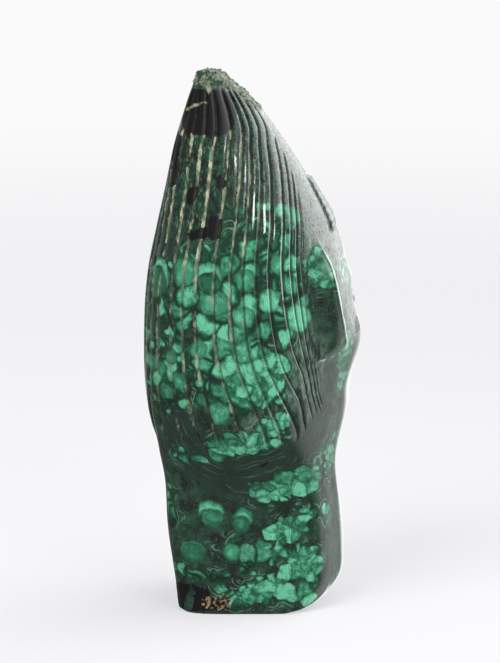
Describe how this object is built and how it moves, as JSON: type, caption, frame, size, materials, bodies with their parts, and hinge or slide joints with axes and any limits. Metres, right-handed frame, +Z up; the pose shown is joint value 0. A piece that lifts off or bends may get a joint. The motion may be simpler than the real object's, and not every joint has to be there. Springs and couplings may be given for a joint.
{
  "type": "malachite relief carving",
  "caption": "Polished malachite bust: a head with swept-back hair cut in long grooves, carved from one lump, that stands on a flat foot.",
  "frame": {"origin": "on the flat foot, about at its middle, at the height of the surface it stands on", "axes": "+Z up along the bust, -Y the way the face looks, -X the figure's right side"},
  "size_m": [0.0734, 0.0916, 0.2],
  "materials": {
    "malachite": "high polish, with rough natural skin at the tip"
  },
  "bodies": {
    "root": {"carved_bust": "malachite"}
  },
  "joints": []
}
